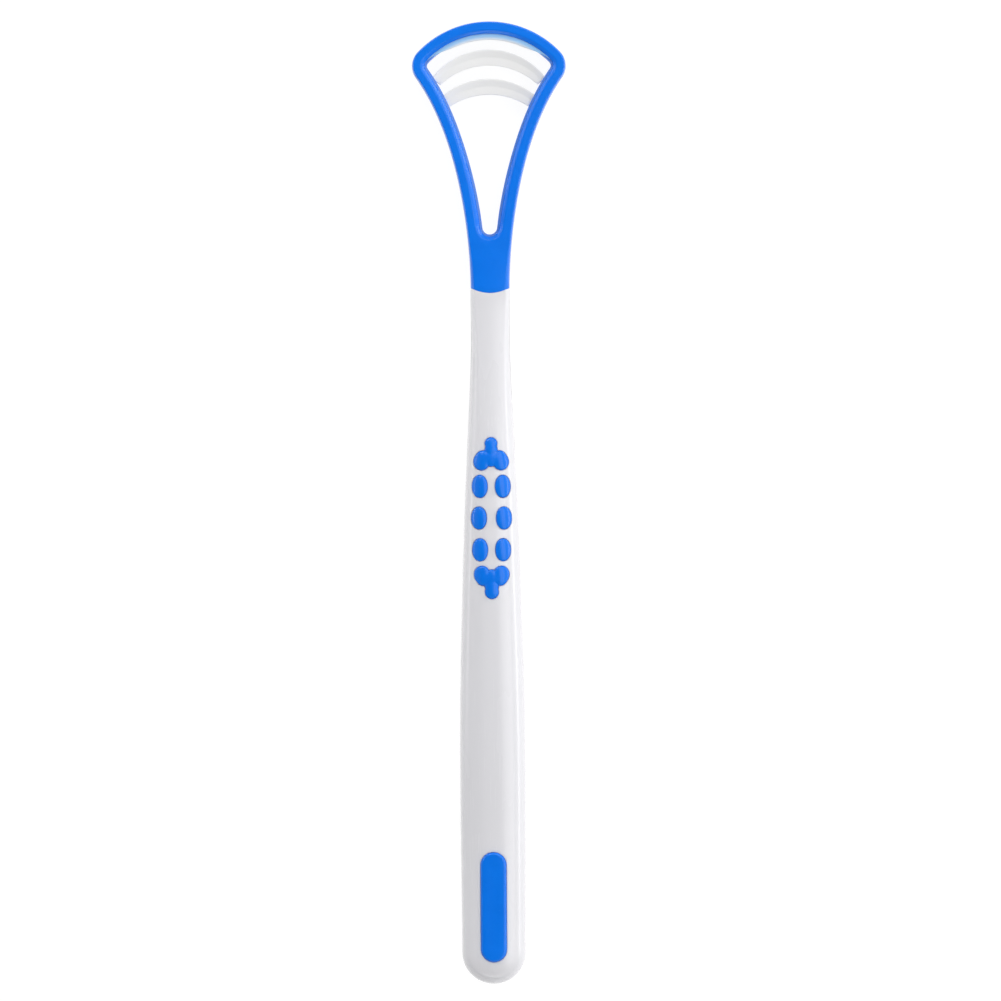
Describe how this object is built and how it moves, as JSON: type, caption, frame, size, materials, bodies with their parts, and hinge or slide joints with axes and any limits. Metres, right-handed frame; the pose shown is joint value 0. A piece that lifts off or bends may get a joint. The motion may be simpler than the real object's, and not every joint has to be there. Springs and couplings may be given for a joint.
{
  "type": "tongue scraper",
  "caption": "Long-handled tongue scraper with a fan-shaped open head, arched scraping blades and soft inlaid grip pads.",
  "frame": {"origin": "middle of the whole length and width, on the surface that the handle's back lies on", "axes": "+Y along the tool towards the scraping head, +Z out of the front face that carries the pads, +X to the right"},
  "size_m": [0.0296, 0.185, 0.0097],
  "materials": {
    "white_plastic": "smooth glossy moulding",
    "core_plastic": "plain moulding, hidden under the blue",
    "blue_soft": "smooth soft moulding with a satin sheen",
    "pale_soft": "matte, slightly milky"
  },
  "bodies": {
    "root": {"handle_core": "white_plastic", "head_skeleton": "core_plastic", "head_cover": "blue_soft", "scraper_lip": "pale_soft", "scraper_blade_upper": "pale_soft", "scraper_blade_lower": "pale_soft", "grip_pad_upper": "blue_soft", "grip_pad_lower": "blue_soft", "grip_oval_left_1": "blue_soft", "grip_oval_left_2": "blue_soft", "grip_oval_left_3": "blue_soft", "grip_oval_right_1": "blue_soft", "grip_oval_right_2": "blue_soft", "grip_oval_right_3": "blue_soft", "tail_inlay": "blue_soft"}
  },
  "joints": []
}
